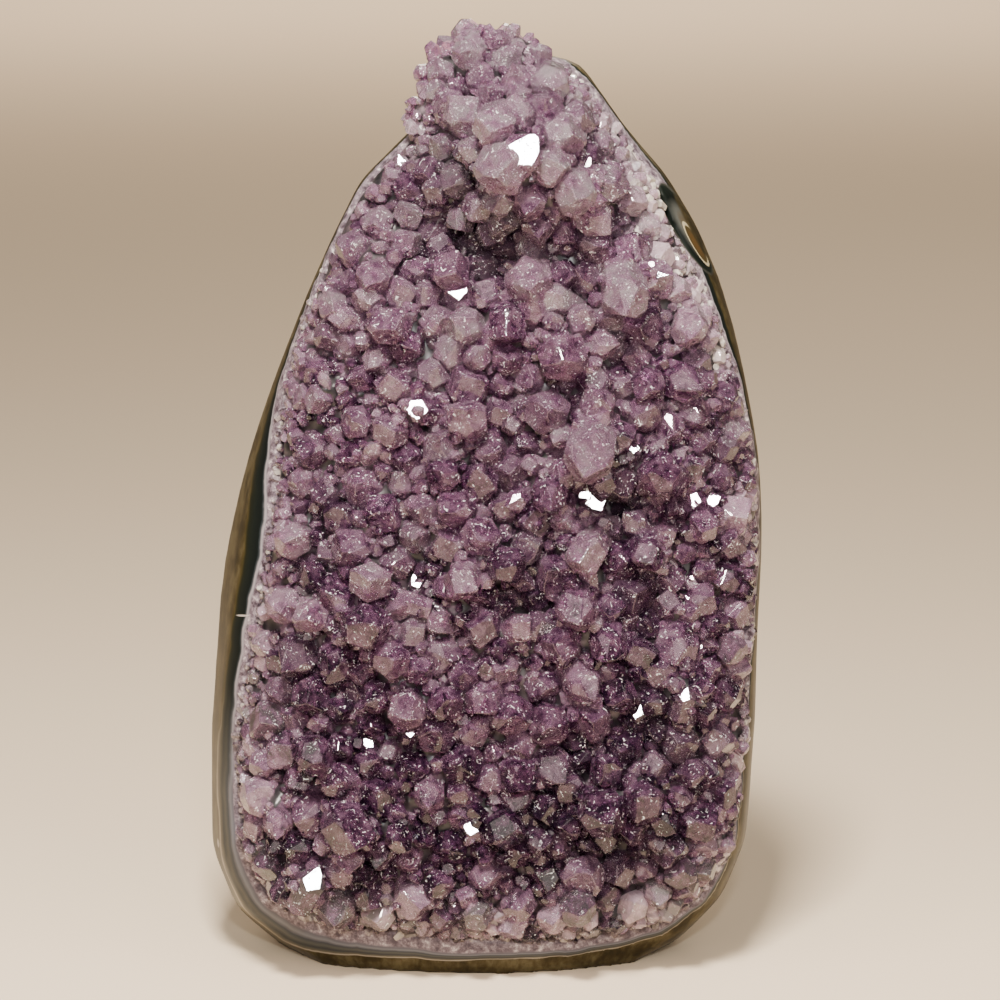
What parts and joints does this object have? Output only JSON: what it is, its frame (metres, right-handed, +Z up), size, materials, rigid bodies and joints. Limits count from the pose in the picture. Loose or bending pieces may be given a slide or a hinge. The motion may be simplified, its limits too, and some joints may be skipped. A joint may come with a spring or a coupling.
{
  "type": "polished amethyst cluster",
  "caption": "Standing amethyst cluster: a polished agate-rimmed stone shell, sawn flat below, lined in front with a crust of amethyst crystals.",
  "frame": {"origin": "middle of the cluster's outer box, on the plane of the sawn base", "axes": "+Z up from the sawn base to the crystals at the top, the crystal front faces -Y, +X to the right as seen from the front"},
  "size_m": [0.1475, 0.0939, 0.2479],
  "materials": {
    "agate_and_rind": "polished",
    "amethyst": "natural crystal faces, see-through purple"
  },
  "bodies": {
    "root": {"polished_stone_shell": "agate_and_rind", "amethyst_crystal_crust": "amethyst"}
  },
  "joints": []
}
